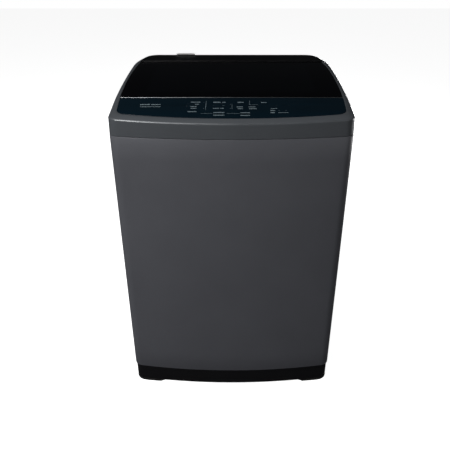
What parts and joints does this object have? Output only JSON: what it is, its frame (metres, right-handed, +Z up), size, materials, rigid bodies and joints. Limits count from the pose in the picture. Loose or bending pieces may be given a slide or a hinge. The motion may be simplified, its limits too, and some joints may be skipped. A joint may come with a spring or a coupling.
{
  "type": "top load washing machine",
  "caption": "Free-standing top load washing machine with a bowed grey steel cabinet, dark glass lid hinged at the rear, flush key panel, and a sprung tub with basket and pulsator.",
  "frame": {"origin": "on the floor, under the centre of the machine's box", "axes": "+Z up, +X to the right seen from the front, +Y from the front to the rear"},
  "size_m": [0.56, 0.58, 0.828],
  "materials": {
    "cabinet_paint": "satin grey paint with a fine metallic flake",
    "cover_paint": "grey painted plastic, semi-gloss",
    "base_plastic": "moulded black, fine texture",
    "foot_rubber": "moulded rubber",
    "panel_gloss": "dark navy, polished",
    "lid_glass": "dark tempered glass, polished",
    "lid_trim": "satin bright edge",
    "black_plastic": "black, low sheen",
    "grey_plastic": "light grey, low sheen",
    "white_plastic": "off-white",
    "tub_plastic": "pale grey, slightly waxy",
    "ring_plastic": "grey, moulded",
    "pulsator_plastic": "blue-grey, moulded",
    "zinc_steel": "galvanised, spangled",
    "rod_steel": "zinc plated",
    "basket_steel": "stainless, brushed",
    "drive_aluminium": "die cast",
    "motor_case": "black painted",
    "belt_rubber": "ribbed",
    "circuit_board": "green board"
  },
  "bodies": {
    "cabinet": {"cabinet_shell": "cabinet_paint", "rear_panel": "zinc_steel", "rear_access_cover": "black_plastic", "base_plinth": "base_plastic", "foot_front_left": "foot_rubber", "foot_front_right": "foot_rubber", "foot_rear_left": "foot_rubber", "foot_rear_right": "foot_rubber", "corner_bracket_front_left": "zinc_steel", "corner_bracket_front_right": "zinc_steel", "corner_bracket_rear_left": "zinc_steel", "corner_bracket_rear_right": "zinc_steel", "suspension_rod_front_left": "rod_steel", "suspension_rod_front_right": "rod_steel", "suspension_rod_rear_left": "rod_steel", "suspension_rod_rear_right": "rod_steel", "cord_gland": "black_plastic", "drain_spigot": "black_plastic", "top_cover": "cover_paint", "control_panel": "panel_gloss", "control_board": "circuit_board", "rear_cover": "black_plastic", "hose_hanger": "grey_plastic", "inlet_valve": "white_plastic", "inlet_connector": "grey_plastic", "drawer_housing": "white_plastic", "lid_switch": "black_plastic"},
    "lid": {"lid_glass": "lid_glass", "lid_frame": "black_plastic", "lid_trim": "lid_trim", "hinge_pin_left": "rod_steel", "hinge_pin_right": "rod_steel"},
    "drawer": {"detergent_drawer": "grey_plastic"},
    "power_key": {"key_power": "panel_gloss"},
    "program_key": {"key_program": "panel_gloss"},
    "water_key": {"key_water": "panel_gloss"},
    "soak_key": {"key_soak": "panel_gloss"},
    "delay_key": {"key_delay": "panel_gloss"},
    "start_key": {"key_start": "panel_gloss"},
    "tub": {"outer_tub": "tub_plastic", "tub_ring": "tub_plastic", "suspension_spring_front_left": "rod_steel", "suspension_spring_front_right": "rod_steel", "suspension_spring_rear_left": "rod_steel", "suspension_spring_rear_right": "rod_steel", "drive_plate": "zinc_steel", "drive_housing": "drive_aluminium", "motor": "motor_case", "drive_belt": "belt_rubber", "drain_valve": "black_plastic"},
    "basket": {"basket": "basket_steel", "balance_ring": "ring_plastic", "spin_hub": "drive_aluminium", "lint_filter": "white_plastic"},
    "pulsator": {"pulsator": "pulsator_plastic", "pulsator_shaft": "rod_steel", "drive_pulley": "drive_aluminium"},
    "motor_pulley": {"motor_pulley": "drive_aluminium"}
  },
  "joints": [
    {"name": "lid_hinge", "type": "hinge", "parent": "cabinet", "child": "lid", "pos_m": [0, 0.158, 0.8131], "axis": [-1, 0, 0], "range_deg": [0, 95]},
    {"name": "drawer_slide", "type": "slide", "parent": "cabinet", "child": "drawer", "axis": [0, -1, 0], "range_m": [0, 0.07]},
    {"name": "power_key_press", "type": "slide", "parent": "cabinet", "child": "power_key", "axis": [0, 0.1309, -0.9914], "range_m": [0, 0.0012], "stiffness_N_per_m": 800, "springref_m": -0.0005},
    {"name": "program_key_press", "type": "slide", "parent": "cabinet", "child": "program_key", "axis": [0, 0.1309, -0.9914], "range_m": [0, 0.0012], "stiffness_N_per_m": 800, "springref_m": -0.0005},
    {"name": "water_key_press", "type": "slide", "parent": "cabinet", "child": "water_key", "axis": [0, 0.1309, -0.9914], "range_m": [0, 0.0012], "stiffness_N_per_m": 800, "springref_m": -0.0005},
    {"name": "soak_key_press", "type": "slide", "parent": "cabinet", "child": "soak_key", "axis": [0, 0.1309, -0.9914], "range_m": [0, 0.0012], "stiffness_N_per_m": 800, "springref_m": -0.0005},
    {"name": "delay_key_press", "type": "slide", "parent": "cabinet", "child": "delay_key", "axis": [0, 0.1309, -0.9914], "range_m": [0, 0.0012], "stiffness_N_per_m": 800, "springref_m": -0.0005},
    {"name": "start_key_press", "type": "slide", "parent": "cabinet", "child": "start_key", "axis": [0, 0.1309, -0.9914], "range_m": [0, 0.0012], "stiffness_N_per_m": 800, "springref_m": -0.0005},
    {"name": "tub_suspension", "type": "slide", "parent": "cabinet", "child": "tub", "axis": [0, 0, 1], "range_m": [-0.02, 0.01], "stiffness_N_per_m": 8000, "springref_m": 0.03549, "deforming": ["suspension_spring_front_left", "suspension_spring_front_right", "suspension_spring_rear_left", "suspension_spring_rear_right"]},
    {"name": "basket_spin", "type": "hinge", "parent": "tub", "child": "basket", "pos_m": [0, 0, 0.24], "axis": [0, 0, 1], "continuous": true},
    {"name": "pulsator_spin", "type": "hinge", "parent": "tub", "child": "pulsator", "pos_m": [0, 0, 0.24], "axis": [0, 0, 1], "continuous": true},
    {"name": "motor_spin", "type": "hinge", "parent": "tub", "child": "motor_pulley", "pos_m": [-0.15, 0, 0.092], "axis": [0, 0, 1], "continuous": true}
  ],
  "couplings": [
    {"joint": "motor_spin", "follows": "pulsator_spin", "ratio": 3.381}
  ]
}
